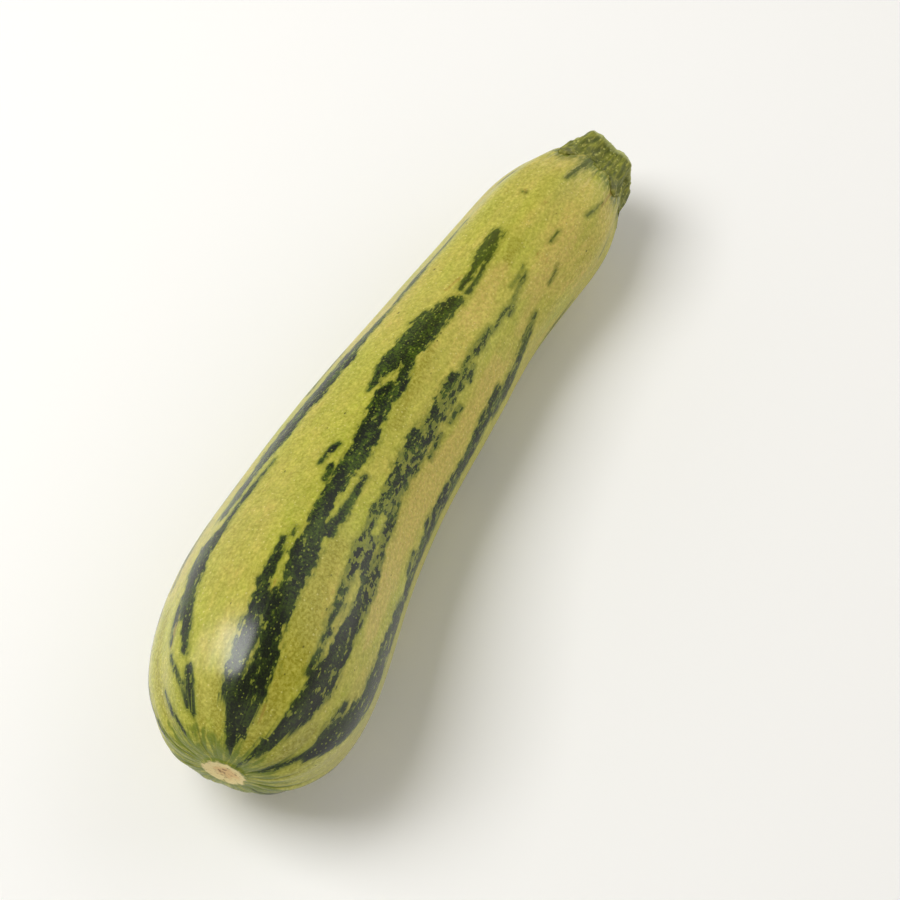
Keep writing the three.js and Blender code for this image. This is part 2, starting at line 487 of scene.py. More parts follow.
# %% Tints and scratches
OLIVE_TINTS = [
    [(46, 113, 2), (30, 114, 3), (18, 114, 3.4), (9, 114, 2.6), (4, 112, 1.5)],
    [(24, 79, 0.8), (12, 79, 2), (6, 81, 2), (2, 86, 1.6)],
    [(10, 145, 2), (3, 140, 1.6)],
    [(9, 68, 1.2), (2, 70, 1.2)],
    [(26, 30, 1.4), (14, 30, 2.2), (6, 33, 1.8), (2, 37, 1)],
    [(112, 96, 1), (98, 103, 1.6), (84, 108, 1.4)],
    [(150, 102, 1.4), (128, 106, 1.2)],
]
BEIGE_TINTS = [
    [(176, 122, 2), (160, 128, 3.4), (146, 138, 3.6), (132, 146, 3)],
    [(118, 146, 2), (96, 150, 2.4), (70, 149, 2.6), (48, 149, 2.6), (30, 149, 2)],
    [(140, 104, 2), (122, 110, 2)],
    [(178, 146, 2.4), (170, 150, 2)],
]
RUST_TINTS = [
    [(33, 92, 0.3), (28, 93, 0.4)],
    [(26, 46, 0.4), (22, 45, 0.6), (17, 44, 0.4)],
    [(10, 109, 0.3), (7, 111, 0.4)],
    [(132, 82, 0.4), (126, 80, 0.5)],
    [(149, 119, 0.25), (150, 123, 0.3), (150, 128, 0.3), (148, 129, 0.25)],
    [(148, 120, 0.2), (149, 127, 0.2)],
    [(183, 143, 0.7), (177, 139, 0.5), (172, 137, 0.3)],
    [(163, 75, 0.4), (162, 78, 0.5)],
    [(162, 96, 0.3), (162, 98, 0.3)],
]
print(len(OLIVE_TINTS + BEIGE_TINTS + RUST_TINTS), "tints and scratches")

# %% [markdown]
# Now the strands become numbers on the mesh. Each stripe also has an openness: a shut one is solid
# green, and an open one breaks into a net, as the second stripe does. It grows from the scar, where
# all stripes are solid. The half width of the nearest strand is kept too, so that the material can
# roughen wide strands more than thin ones.

# %% Depth inside the nearest strand
DEEPEST_OUTSIDE = -9.0
SOLID_UP_TO = 12
OPENS_OVER = 35


def strand_depth(strands, along, angle, radius):
    """How far inside the nearest strand each point lies, in mm on the skin, and its half width."""
    depth = np.full(len(along), DEEPEST_OUTSIDE)
    size = np.ones(len(along))
    for strand in strands:
        for (s0, a0, h0), (s1, a1, h1) in zip(strand, strand[1:]):
            around = (angle - math.radians(a0) + np.pi) % (2 * np.pi) - np.pi
            p_along, p_around = along - s0, around * radius
            d_along, d_around = s1 - s0, math.radians(a1 - a0) * radius
            length_squared = d_along**2 + d_around**2 + 1e-9
            share = np.clip((p_along * d_along + p_around * d_around) / length_squared, 0, 1)
            half = h0 + share * (h1 - h0)
            inside = half - np.hypot(p_along - share * d_along, p_around - share * d_around)
            size = np.where(inside > depth, half, size)
            depth = np.maximum(depth, inside)
    return depth, size


OPENNESS = (
    (MAIN_STRIPE, 0),
    (SECOND_STRIPE, 0.9),
    (THIRD_STRIPE, 0.5),
    (LEFT_STRIPE, 0),
    (NECK_FLECKS, 0),
    (hidden_strands, 0.3),
    (finger_strands, 0),
)
stripe_depth = np.full(len(along), DEEPEST_OUTSIDE)
stripe_size, openness = np.ones(len(along)), np.zeros(len(along))
for strands, how_open in OPENNESS:
    depth, size = strand_depth(strands, along, angle, radius)
    nearer = depth > stripe_depth
    stripe_depth = np.where(nearer, depth, stripe_depth)
    stripe_size = np.where(nearer, size, stripe_size)
    opening = how_open * np.clip((along - SOLID_UP_TO) / OPENS_OVER, 0, 1)
    openness = np.where(nearer, opening, openness)
keep_value(fruit, "stripe_depth", stripe_depth)
keep_value(fruit, "stripe_size", stripe_size)
keep_value(fruit, "openness", openness)
for name, tints in (("olive", OLIVE_TINTS), ("beige", BEIGE_TINTS), ("rust", RUST_TINTS)):
    keep_value(fruit, name + "_depth", strand_depth(tints, along, angle, radius)[0])
print("striped share of the skin:", round(float((stripe_depth > 0).mean()), 2))

# %% [markdown]
# The solid gives the main form. The hand feels more: soft creases that draw together at the
# scar, wrinkles on the shoulder under the stalk, and a skin that is never quite even. These are
# real movements of the mesh along its normals, a few tenths of a millimetre deep, so that they
# shape the highlights and the outline from every side.

# %% Fine relief of the skin


def normals_of(mesh):
    flat = np.empty(len(mesh.vertices) * 3)
    mesh.vertices.foreach_get("normal", flat)
    return flat.reshape(-1, 3)


def wander(places, size, seed):
    """Smooth noise of about one feature per size, from -1 to 1."""
    return np.array([noise.noise(Vector(place / size) + Vector((seed, 0, 0))) for place in places])


def raise_points(piece, lift):
    """Move points along their normals by a lift in mm, but none of them through the floor."""
    mesh = piece.data
    moved = points_of(mesh) + normals_of(mesh) * (lift * MM)[:, None]
    moved[:, 2] = np.maximum(moved[:, 2], 0)
    mesh.vertices.foreach_set("co", moved.ravel())
    mesh.update()


UNEVEN_HEIGHT = 0.12
UNEVEN_SIZE = 9.0
DENT_HEIGHT = 0.05
DENT_SIZE = 3.2
SCAR_CREASES = 22
CREASE_DEPTH = 0.34
CREASE_REACH = 10
SCAR_EDGE = 5.6
SHOULDER_CREASES = 28
SHOULDER_DEPTH = 0.42
SHOULDER_MIDDLE = 183
SHOULDER_REACH = 11
STALK_CORNERS = 5
STALK_TURN = math.radians(69)
STALK_VALLEY_RADIUS = 10.9
STALK_CORNER_HEIGHT = 2.6
COLLAR_HEIGHT = 0.35
COLLAR_REACH = 1.5
COLLAR_FROM = 172

skin_mm = round_places(angle, radius, along * 0.3)
uneven = UNEVEN_HEIGHT * wander(skin_mm, UNEVEN_SIZE, seed=3.0)
uneven += DENT_HEIGHT * wander(skin_mm, DENT_SIZE, seed=11.0)


def creases(count, seed):
    """Minus one along creases that run with the fruit, zero on the swells between them."""
    bend = wander(round_places(angle, 6, along * 0.12), 3.0, seed)
    depth = 0.6 + 0.6 * wander(round_places(angle, 9, along * 0.02), 2.0, seed + 9)
    return depth * (np.abs(np.sin(count / 2 * angle + 1.3 * bend)) ** 0.5 - 1)


at_scar = np.exp(-((along / CREASE_REACH) ** 2)) * np.clip((radius - SCAR_EDGE) / 2, 0, 1)
at_shoulder = np.exp(-(((along - SHOULDER_MIDDLE) / SHOULDER_REACH) ** 2))
scar_crease = at_scar * creases(SCAR_CREASES, 29.0)
shoulder_crease = at_shoulder * creases(SHOULDER_CREASES, 41.0)
stalk_edge = STALK_VALLEY_RADIUS + STALK_CORNER_HEIGHT * (
    0.5 + 0.5 * np.cos(STALK_CORNERS * (angle - STALK_TURN))
)
collar = np.exp(-(((radius - stalk_edge) / COLLAR_REACH) ** 2))
collar *= np.clip((along - COLLAR_FROM) / 5, 0, 1)
on_skin = np.clip((radius - 5) / 3, 0.15, 1)
relief = uneven + CREASE_DEPTH * scar_crease + SHOULDER_DEPTH * shoulder_crease
raise_points(fruit, on_skin * relief + COLLAR_HEIGHT * collar)
keep_value(fruit, "collar", collar)
# The creases' depth is kept so that the skin material can darken them as painted shade.
keep_value(fruit, "crease", -scar_crease - 0.8 * shoulder_crease)
print("skin relief within", round(float(np.abs(uneven).max()), 2), "mm")

# %% [markdown]
# The stalk is the plant's own stem, cut a finger's width above the fruit. It has five corners
# with hollows between them, and its foot spreads onto the shoulder. It is ringed up like the
# fruit, and the Shrinkwrap pulls each round ring out to the five corners of the solid.

# %% Rings of the stalk
STALK_AROUND = 60
stalk_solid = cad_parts["stalk"]
STALK_RINGS = [
    (178.2, 12), (179, 13), (180.5, 13), (182, 12.4), (183.5, 11.6), (185, 10.9), (186.5, 10.2),
    (188, 9.6), (189.4, 9.2), (190.6, 9.1), (191.3, 9.1), (191.8, 8.8), (192, 8), (192, 6),
    (191.8, 4.6), (191.4, 3.2), (191.4, 1.6),
]
stalk_rings = [(scar_x + along * MM, radius * MM) for along, radius in STALK_RINGS]
stalk = ringed_piece("zucchini_stalk", stalk_rings, STALK_AROUND)
fit_and_round(stalk, stalk_solid)
stalk_along, stalk_angle, stalk_radius = skin_place(points_of(stalk.data))
stalk_mm = round_places(stalk_angle, stalk_radius, stalk_along)
keep_vector(stalk, "skin_place", stalk_mm)
keep_value(stalk, "along", stalk_along)
keep_value(stalk, "from_axis", stalk_radius)
print("the stalk reaches", stalk_radius.max().round(1), "mm from the line")

# %% [markdown]
# The solid's corners are soft waves. A real stem has crisp ridges on its corners and fibres that
# stand up between them, and a knife leaves its cut face uneven: the pith in the middle sinks as it
# dries, and a ring of tougher strands stands proud. All of that is moved into the mesh.

# %% Ridges, fibres and cut face of the stalk
RIDGE_HEIGHT = 0.9
RIDGE_FROM = 0.5
VALLEY_DEPTH = 0.6
VALLEY_FROM = 182
FIBRES = 34
FIBRE_HEIGHT = 0.16
CUT_ALONG = 191.2
STRAND_RING = 6.4
STRAND_RING_HEIGHT = 0.22
PITH_RADIUS = 2.2
PITH_DEPTH = 0.35

corner_wave = np.cos(STALK_CORNERS * (stalk_angle - STALK_TURN))
ridges = RIDGE_HEIGHT * (np.clip((corner_wave - RIDGE_FROM) / (1 - RIDGE_FROM), 0, 1) ** 1.5 - 0.35)
in_valley = np.clip(-corner_wave, 0, 1) ** 2 * np.clip((stalk_along - VALLEY_FROM) / 6, 0, 1)
ridges -= VALLEY_DEPTH * in_valley
stem_bend = wander(stalk_mm * (0.5, 0.5, 0.12), 2.5, seed=7.0)
fibre_wave = np.cos(FIBRES * stalk_angle + 5 * stem_bend)
stem_uneven = 0.3 * wander(stalk_mm * (1, 1, 0.3), 2.4, seed=5.0)
stem_uneven += 0.14 * wander(stalk_mm * (1, 1, 0.4), 0.9, seed=8.0)
on_side = np.clip((CUT_ALONG - stalk_along) / 0.8, 0, 1)
strand_ring = np.exp(-(((stalk_radius - STRAND_RING) / 0.8) ** 2))
strand_ring *= 0.6 + 0.4 * np.cos(2 * STALK_CORNERS * stalk_angle)
pith = -PITH_DEPTH * np.exp(-((stalk_radius / PITH_RADIUS) ** 2))
pith += 0.2 * wander(stalk_mm, 0.9, seed=2.0)
side_relief = ridges + FIBRE_HEIGHT * fibre_wave
cut_relief = STRAND_RING_HEIGHT * strand_ring + pith
raise_points(stalk, stem_uneven + on_side * side_relief + (1 - on_side) * cut_relief)
# The hollows and the grooves between fibres are kept, for painted shade in the material.
keep_value(stalk, "valley", np.clip(0.5 - 0.5 * fibre_wave - 0.3 * corner_wave, 0, 1))
keep_value(stalk, "on_side", on_side)
print("ridges up to", round(float(ridges.max()), 2), "mm")

# %% [markdown]
# Materials are built from nodes by a few short helpers, so that a recipe reads as one. Effects
# that both pieces use, the pale specks and the mottling, are node groups: built once, and placed
# in each material with values of its own.

# %% Node helpers


def feed(tree, socket, value):
    """Link an output into a socket, or set the socket's own value."""
    if isinstance(value, bpy.types.NodeSocket):
        tree.links.new(value, socket)
    else:
        socket.default_value = value


def add_node(tree, kind, **settings):
    """A new node with its settings, placed in rows of twelve that can be read."""
    node = tree.nodes.new("ShaderNode" + kind)
    node.location = (180 * (len(tree.nodes) % 12), -260 * (len(tree.nodes) // 12))
    for name, value in settings.items():
        setattr(node, name, value)
    return node


def maths(tree, operation, first, second=0.0, third=0.0):
    node = add_node(tree, "Math", operation=operation)
    for socket, value in zip(node.inputs, (first, second, third)):
        feed(tree, socket, value)
    return node.outputs[0]


def stretch(tree, vector, scale):
    """A place, scaled differently each way, so that a pattern on it runs long or short."""
    node = add_node(tree, "VectorMath", operation="MULTIPLY")
    feed(tree, node.inputs[0], vector)
    feed(tree, node.inputs[1], scale)
    return node.outputs[0]


def fade(tree, value, low, high, to_low=0.0, to_high=1.0):
    """A smooth step of a value between two bounds."""
    node = add_node(tree, "MapRange", interpolation_type="SMOOTHSTEP")
    for socket, item in zip(node.inputs[:5], (value, low, high, to_low, to_high)):
        feed(tree, socket, item)
    return node.outputs[0]


def tint(tree, mask, first, second):
    """The first colour where the mask is 0, and the second where it is 1."""
    node = add_node(tree, "Mix", data_type="RGBA")
    for place_in_node, value in ((0, mask), (6, first), (7, second)):
        feed(tree, node.inputs[place_in_node], value)
    return node.outputs[2]


def layer(tree, under, colour, mask, strength):
    """A colour laid over another as strongly as given, where the mask is 1."""
    return tint(tree, maths(tree, "MULTIPLY", mask, strength), under, colour)


def cloud(tree, place, scale, detail=3.0, rough=0.55):
    """Noise between 0 and 1 with about this many features to a unit of place."""
    node = add_node(tree, "TexNoise")
    feed(tree, node.inputs["Vector"], place)
    node.inputs["Scale"].default_value = scale
    node.inputs["Detail"].default_value = detail
    node.inputs["Roughness"].default_value = rough
    return node.outputs["Fac"]


def read(tree, name, output="Fac"):
    """A value that an earlier cell kept on the mesh."""
    return add_node(tree, "Attribute", attribute_name=name).outputs[output]


def paint(red, green, blue):
    """A linear colour from the 0 to 255 values that a screen shows."""
    screen = np.array((red, green, blue)) / 255
    return (*np.where(screen < 0.04045, screen / 12.92, ((screen + 0.055) / 1.055) ** 2.4), 1)


def new_group(name, inputs, outputs):
    tree = bpy.data.node_groups.new(name, "ShaderNodeTree")
    for socket_name, kind in inputs:
        tree.interface.new_socket(name=socket_name, in_out="INPUT", socket_type=kind)
    for socket_name, kind in outputs:
        tree.interface.new_socket(name=socket_name, in_out="OUTPUT", socket_type=kind)
    print("group:", name)
    return tree, tree.nodes.new("NodeGroupInput"), tree.nodes.new("NodeGroupOutput")


def use_group(tree, group, **inputs):
    """The mask that a group makes from these inputs."""
    node = add_node(tree, "Group", node_tree=group)
    for name, value in inputs.items():
        feed(tree, node.inputs[name], value)
    return node.outputs[0]


# %% [markdown]
# Pale specks are the pores of the skin. A Voronoi texture spreads one cell for each, and the
# cell's own random colour decides how large its speck is, or whether it has one.

# %% Group: specks
specks, group_in, group_out = new_group(
    "Pale specks",
    [("Place", "NodeSocketVector"), ("Density", "NodeSocketFloat"), ("Size", "NodeSocketFloat")],
    [("Mask", "NodeSocketFloat")],
)
cells = add_node(specks, "TexVoronoi")
feed(specks, cells.inputs["Vector"], group_in.outputs["Place"])
feed(specks, cells.inputs["Scale"], group_in.outputs["Density"])
chance = add_node(specks, "SeparateColor")
feed(specks, chance.inputs[0], cells.outputs["Color"])
speck_size = maths(specks, "MULTIPLY", chance.outputs[0], group_in.outputs["Size"])
inner = maths(specks, "MULTIPLY", speck_size, 0.5)
speck = fade(specks, cells.outputs["Distance"], inner, speck_size, 1.0, 0.0)
feed(specks, group_out.inputs["Mask"], speck)

# %% [markdown]
# Mottling is a cloudy mix of two colours. Plain noise stays near its middle and looks like fog,
# so its range is stretched until some places are fully one colour or the other.

# %% Group: mottling
mottling, group_in, group_out = new_group(
    "Mottling",
    [("Place", "NodeSocketVector"), ("Scale", "NodeSocketFloat")],
    [("Mask", "NodeSocketFloat")],
)
mottle = add_node(mottling, "TexNoise")
mottle.inputs["Detail"].default_value = 5
mottle.inputs["Roughness"].default_value = 0.6
feed(mottling, mottle.inputs["Vector"], group_in.outputs["Place"])
feed(mottling, mottle.inputs["Scale"], group_in.outputs["Scale"])
feed(mottling, group_out.inputs["Mask"], fade(mottling, mottle.outputs["Fac"], 0.32, 0.68))

# %% [markdown]
# The skin. Its ground is yellow-green with warmer and greener clouds and fine speckle. The dark
# stripes lie where the stripe depth, roughened by stretched noise, is above zero. Every colour
# is named for what it stands for and given as it shows on a screen, from 0 to 255.

# %% Skin colours
PALE_SKIN = paint(176, 181, 54)
WARM_SKIN = paint(200, 174, 92)
BEIGE_SKIN = paint(200, 176, 98)
RIDGE_SKIN = paint(212, 198, 122)
NEAR_SCAR = paint(98, 116, 18)
NECK_MARK = paint(92, 100, 20)
VEIL = paint(104, 114, 40)
GREEN_SKIN = paint(138, 148, 38)
LIGHT_GRAIN = paint(214, 207, 104)
DARK_GRAIN = paint(132, 130, 28)
SPECKLE = paint(226, 219, 140)
PIT = paint(100, 100, 24)
OLIVE_TINT = paint(134, 128, 8)
STREAK_TINT = paint(140, 144, 34)
RUST_TINT = paint(152, 108, 40)
# Painted shade for the creases.
CREASE_SHADE = paint(78, 92, 18)
DARK_STRIPE = paint(14, 24, 2)
MID_STRIPE = paint(74, 96, 8)
STRIPE_EDGE = paint(112, 120, 20)
STRIPE_SPECK = paint(150, 160, 58)
CORK_RIM_AND_HIGHLIGHT = paint(232, 216, 160)
CORK = paint(222, 192, 136)
CORK_DARK = paint(142, 104, 62)
print("pale skin, linear:", np.round(PALE_SKIN, 3))

# %% [markdown]
# A stripe on the real fruit is a crowd of small dark flecks, so its edge is ragged and pale holes
# open inside it. Two sizes of noise push the edge in and out, more where the strand is wide, and
# its depth is capped, so that holes can open in the middle of a wide one too.

# %% Skin material: where the stripes are
HOLE_DEPTH = 2.0
DEEPEST = 1.7
skin = bpy.data.materials.new("zucchini_skin")
skin.use_nodes = True
tree = skin.node_tree
surface = tree.nodes["Principled BSDF"]
place = read(tree, "skin_place", "Vector")
streaks = read(tree, "streak_place", "Vector")
along_skin = read(tree, "along")
from_axis = read(tree, "from_axis")


def swing(tree, value, reach):
    """A noise value moved to swing round zero, as far as reach when it is 0 or 1."""
    return maths(tree, "MULTIPLY_ADD", value, 2 * reach, -reach)


large_swing = swing(tree, cloud(tree, streaks, 0.4, 2), 1.6)
small_swing = swing(tree, cloud(tree, streaks, 1.5, 3), 1.4)
ragged = maths(tree, "ADD", large_swing, small_swing)
freedom = fade(tree, read(tree, "stripe_size"), 0.4, 2.2, 0.45, 1.1)
open_cloud = cloud(tree, streaks, 1.0, 4, 0.6)
open_places = maths(tree, "MULTIPLY_ADD", read(tree, "openness"), 0.12, open_cloud)
solid_depth = maths(tree, "MULTIPLY_ADD", ragged, freedom, read(tree, "stripe_depth"))
holes = fade(tree, open_places, 0.56, 0.68, 0.0, HOLE_DEPTH)
capped = maths(tree, "MINIMUM", read(tree, "stripe_depth"), DEEPEST)
depth = maths(tree, "SUBTRACT", maths(tree, "MULTIPLY_ADD", ragged, freedom, capped), holes)
stripe_mask = fade(tree, depth, -0.15, 0.4)
stripe_edge = fade(tree, solid_depth, -1.1, 0.1)
print("stripes come from", len(tree.nodes), "nodes")

# %% [markdown]
# The ground is laid on in thin layers, as a painter would glaze it: clouds of pale, warm and
# green skin, streaks along the fruit, tinted bands, grain and specks, and last the veil round the
# stripes. Each layer has its own colour and strength, so each can be matched to the photo alone.

# %% Skin material: clouds, grain and specks
clouds = use_group(tree, mottling, Place=streaks, Scale=0.14)
other_streaks = stretch(tree, streaks, (1.3, 1.3, 1.3))
green_clouds = use_group(tree, mottling, Place=other_streaks, Scale=0.13)
light_grain = use_group(tree, mottling, Place=place, Scale=1.5)
dark_grain = use_group(tree, mottling, Place=stretch(tree, place, (1.1, 1.1, 0.8)), Scale=1.3)
fine_specks = use_group(tree, specks, Place=place, Density=1.0, Size=0.3)
pit_place = stretch(tree, place, (1, 1, 0.6))
pits = use_group(tree, specks, Place=pit_place, Density=0.4, Size=0.13)
print("patterns:", len(tree.nodes), "nodes")

# %% Skin material: the ground
ground = tint(tree, clouds, PALE_SKIN, WARM_SKIN)
ground = layer(tree, ground, GREEN_SKIN, green_clouds, 0.5)
flow = fade(tree, cloud(tree, streaks, 0.8, 5, 0.66), 0.42, 0.6)
ground = layer(tree, ground, STREAK_TINT, flow, 0.42)
ground = tint(tree, fade(tree, along_skin, 2.0, 16.0, 0.6, 0.0), ground, GREEN_SKIN)
ground = tint(tree, fade(tree, along_skin, 60.0, 115.0, 0.0, 0.14), ground, RIDGE_SKIN)
olive = maths(tree, "ADD", read(tree, "olive_depth"), swing(tree, green_clouds, 0.8))
olive = fade(tree, olive, -1.2, 1.6)
ground = layer(tree, ground, OLIVE_TINT, olive, 0.8)
beige = maths(tree, "ADD", read(tree, "beige_depth"), swing(tree, clouds, 1.6))
beige = fade(tree, beige, -1.6, 2.0)
ground = layer(tree, ground, BEIGE_SKIN, beige, 0.8)
ground = layer(tree, ground, LIGHT_GRAIN, light_grain, 0.55)
ground = layer(tree, ground, DARK_GRAIN, dark_grain, 0.45)
ground = layer(tree, ground, SPECKLE, fine_specks, 0.45)
ground = layer(tree, ground, PIT, pits, 0.8)
print("ground:", len(tree.nodes), "nodes")

# %% Skin material: beside the stripes, the scar and the stalk, and painted shade in the creases
veil_cloud = fade(tree, cloud(tree, streaks, 2.2, 4, 0.7), 0.36, 0.6, 0.3, 1.0)
ground = layer(tree, ground, STRIPE_EDGE, stripe_edge, 0.55)
veil = maths(tree, "MULTIPLY", fade(tree, solid_depth, -0.3, 0.5), veil_cloud)
ground = layer(tree, ground, VEIL, veil, 0.85)
near_scar = fade(tree, along_skin, 0.3, 9.0, 1.0, 0.0)
near_scar = maths(tree, "MULTIPLY", near_scar, cloud(tree, streaks, 0.7, 4, 0.6))
ground = tint(tree, fade(tree, near_scar, 0.34, 0.56, 0.0, 0.85), ground, NEAR_SCAR)
pale_shoulder = fade(tree, along_skin, 150.0, 178.0)
pale_shoulder = maths(tree, "MULTIPLY", pale_shoulder, cloud(tree, streaks, 1.2, 3, 0.6))
ground = tint(tree, fade(tree, pale_shoulder, 0.42, 0.66, 0.0, 0.5), ground, RIDGE_SKIN)
# Painted shade: a deep green darkens the creases at the scar and on the shoulder, most where they are
# deepest.
ground = tint(tree, fade(tree, read(tree, "crease"), 0.2, 0.8, 0.0, 0.9), ground, CREASE_SHADE)
stalk_streaks = fade(tree, cloud(tree, streaks, 1.1, 3), 0.3, 0.6)
stalk_streaks = maths(tree, "MULTIPLY", read(tree, "collar"), stalk_streaks)
ground = layer(tree, ground, MID_STRIPE, stalk_streaks, 0.8)
rust = maths(tree, "ADD", read(tree, "rust_depth"), swing(tree, cloud(tree, streaks, 2.0), 0.6))
rust = fade(tree, rust, -0.2, 0.4)
ground = layer(tree, ground, RUST_TINT, rust, 0.4)
print("ground and its edges:", len(tree.nodes), "nodes")

# %% [markdown]
# The stripes are nearly black towards the scar, where the skin is taut, and fade to leaf green and
# olive along the neck, with pale specks scattered over them. The scar is dry cork: a pale rim
# round a browner middle, with a coarse grain, and the rim's paleness is partly a painted highlight.

# %% Skin material: the stripes
speck_place = stretch(tree, place, (1, 1, 0.8))
stripe_specks = use_group(tree, specks, Place=speck_place, Density=1.25, Size=0.4)
fine_tone = swing(tree, cloud(tree, place, 1.8, 3), 0.5)
tone = maths(tree, "ADD", cloud(tree, streaks, 0.5, 3), fine_tone)
away_from_scar = fade(tree, along_skin, 10.0, 70.0, 0.45, 1.0)
green_share = maths(tree, "MULTIPLY", fade(tree, tone, 0.35, 0.8), away_from_scar)
stripe_tone = tint(tree, green_share, DARK_STRIPE, MID_STRIPE)
stripe_tone = tint(tree, fade(tree, depth, 0.9, 0.0, 0.0, 0.45), stripe_tone, MID_STRIPE)
stripe_tone = tint(tree, fade(tree, along_skin, 90.0, 180.0, 0.0, 0.8), stripe_tone, NECK_MARK)
stripe_tone = layer(tree, stripe_tone, STRIPE_SPECK, stripe_specks, 0.55)
coloured = tint(tree, stripe_mask, ground, stripe_tone)
print("stripes:", len(tree.nodes), "nodes")

# %% Skin material: the scar
at_front = maths(tree, "LESS_THAN", along_skin, FRONT_OF_FRUIT)
cork_grain = cloud(tree, place, 1.1, 5, 0.65)
uneven_rim = maths(tree, "ADD", from_axis, swing(tree, cloud(tree, place, 0.45, 4, 0.6), 2.6))
on_scar = maths(tree, "MULTIPLY", fade(tree, uneven_rim, 4.4, 5.5, 1.0, 0.0), at_front)
cork = tint(tree, fade(tree, cork_grain, 0.5, 0.66), CORK, CORK_DARK)
# The pale rim is partly the cork's own lighter colour and partly a painted highlight.
cork = tint(tree, fade(tree, uneven_rim, 1.6, 3.6), cork, CORK_RIM_AND_HIGHLIGHT)
cork = tint(tree, fade(tree, cork_grain, 0.56, 0.7, 0.0, 0.5), cork, CORK_DARK)
feed(tree, surface.inputs["Base Color"], tint(tree, on_scar, coloured, cork))
print("scar:", len(tree.nodes), "nodes")

# %% [markdown]
# The wax is a coat over the colour. It shines most on the taut thick end, is thin at the very
# scar, and grows thinner along the neck, where the skin is duller. Pores and specks roughen what
# lies below it, so the base reflects little and its highlight stays soft.

# %% Skin material: wax and pores
BASE_GLOSS = 0.1
COAT_IOR = 1.6
COAT_ROUGHNESS = 0.25
PORE_STRENGTH = 0.9
PORE_DEPTH = 0.24
wax = maths(tree, "MULTIPLY_ADD", light_grain, 0.1, 0.3)
feed(tree, surface.inputs["Roughness"], maths(tree, "MULTIPLY_ADD", on_scar, 0.45, wax))
surface.inputs["Specular IOR Level"].default_value = BASE_GLOSS
gloss = fade(tree, along_skin, 15.0, 80.0, 0.9, 0.35)
gloss = maths(tree, "MULTIPLY", gloss, fade(tree, along_skin, 1.0, 10.0, 0.3, 1.0))
feed(tree, surface.inputs["Coat Weight"], gloss)
surface.inputs["Coat IOR"].default_value = COAT_IOR
surface.inputs["Coat Roughness"].default_value = COAT_ROUGHNESS
raised_specks = maths(tree, "MULTIPLY", fine_specks, 0.3)
pores = maths(tree, "MULTIPLY_ADD", cloud(tree, place, 1.2, 5, 0.6), 0.9, raised_specks)
pores = maths(tree, "SUBTRACT", pores, maths(tree, "MULTIPLY", pits, 0.6))
pores = maths(tree, "MULTIPLY_ADD", on_scar, maths(tree, "MULTIPLY", cork_grain, 3.0), pores)
bump = add_node(tree, "Bump")
bump.inputs["Strength"].default_value = PORE_STRENGTH
bump.inputs["Distance"].default_value = PORE_DEPTH * MM
feed(tree, bump.inputs["Height"], pores)
feed(tree, surface.inputs["Normal"], bump.outputs["Normal"])

fruit.data.materials.clear()
fruit.data.materials.append(skin)
print("skin material:", len(tree.nodes), "nodes")

# %% [markdown]
# The stalk is matte and fibrous: deep green with many pale specks, darkened by painted shade in
# its hollows and the grooves between fibres, and drier and paler on the cut face, where the ring
# of fibres shows.

# %% Stalk material: the side
STALK_GREEN = paint(148, 150, 54)
STALK_DEEP_AND_SHADE = paint(76, 86, 14)
STALK_LIGHT = paint(176, 172, 84)
STALK_SPECK = paint(188, 188, 104)
STALK_FOOT = paint(104, 90, 34)
CUT_PALE = paint(196, 196, 132)
CUT_DARK = paint(126, 136, 70)
CUT_RING = paint(98, 116, 44)
PITH = paint(206, 200, 150)
FIBRE_STRENGTH = 0.8
FIBRE_DEPTH = 0.3

stem = bpy.data.materials.new("zucchini_stalk")
stem.use_nodes = True
tree = stem.node_tree
surface = tree.nodes["Principled BSDF"]
place = read(tree, "skin_place", "Vector")
fibres = stretch(tree, place, (1, 1, 0.25))
stalk_clouds = use_group(tree, mottling, Place=fibres, Scale=0.7)
stalk_specks = use_group(tree, specks, Place=place, Density=1.1, Size=0.5)
green = tint(tree, stalk_clouds, STALK_DEEP_AND_SHADE, STALK_GREEN)
# Painted shade: the hollows and the grooves between fibres are darkened with the deep green.
green = layer(tree, green, STALK_DEEP_AND_SHADE, read(tree, "valley"), 0.5)
light_fibres = fade(tree, cloud(tree, fibres, 1.6, 4, 0.65), 0.52, 0.7, 0.0, 0.7)
green = tint(tree, light_fibres, green, STALK_LIGHT)
green = layer(tree, green, STALK_SPECK, stalk_specks, 0.6)
foot = maths(tree, "ADD", read(tree, "along"), swing(tree, cloud(tree, place, 0.5, 3), 2.0))
green = tint(tree, fade(tree, foot, 180.5, 183.5, 0.25, 0.0), green, STALK_FOOT)
print("stalk's side:", len(tree.nodes), "nodes")

# %% Stalk material: the cut face and the fibres' relief
stalk_from_axis = read(tree, "from_axis")
cut_colour = tint(tree, cloud(tree, place, 1.2, 4), CUT_PALE, CUT_DARK)
ring = maths(tree, "ABSOLUTE", maths(tree, "SUBTRACT", stalk_from_axis, STRAND_RING))
cut_colour = tint(tree, fade(tree, ring, 0.2, 1.1, 0.7, 0.0), cut_colour, CUT_RING)
cut_colour = tint(tree, fade(tree, stalk_from_axis, 1.0, 4.5, 0.8, 0.0), cut_colour, PITH)
feed(tree, surface.inputs["Base Color"], tint(tree, read(tree, "on_side"), cut_colour, green))
feed(tree, surface.inputs["Roughness"], maths(tree, "MULTIPLY_ADD", stalk_clouds, 0.15, 0.5))
bump = add_node(tree, "Bump")
bump.inputs["Strength"].default_value = FIBRE_STRENGTH
bump.inputs["Distance"].default_value = FIBRE_DEPTH * MM
feed(tree, bump.inputs["Height"], cloud(tree, fibres, 1.4, 5))
feed(tree, surface.inputs["Normal"], bump.outputs["Normal"])
stalk.data.materials.clear()
stalk.data.materials.append(stem)
print("stalk material:", len(tree.nodes), "nodes")

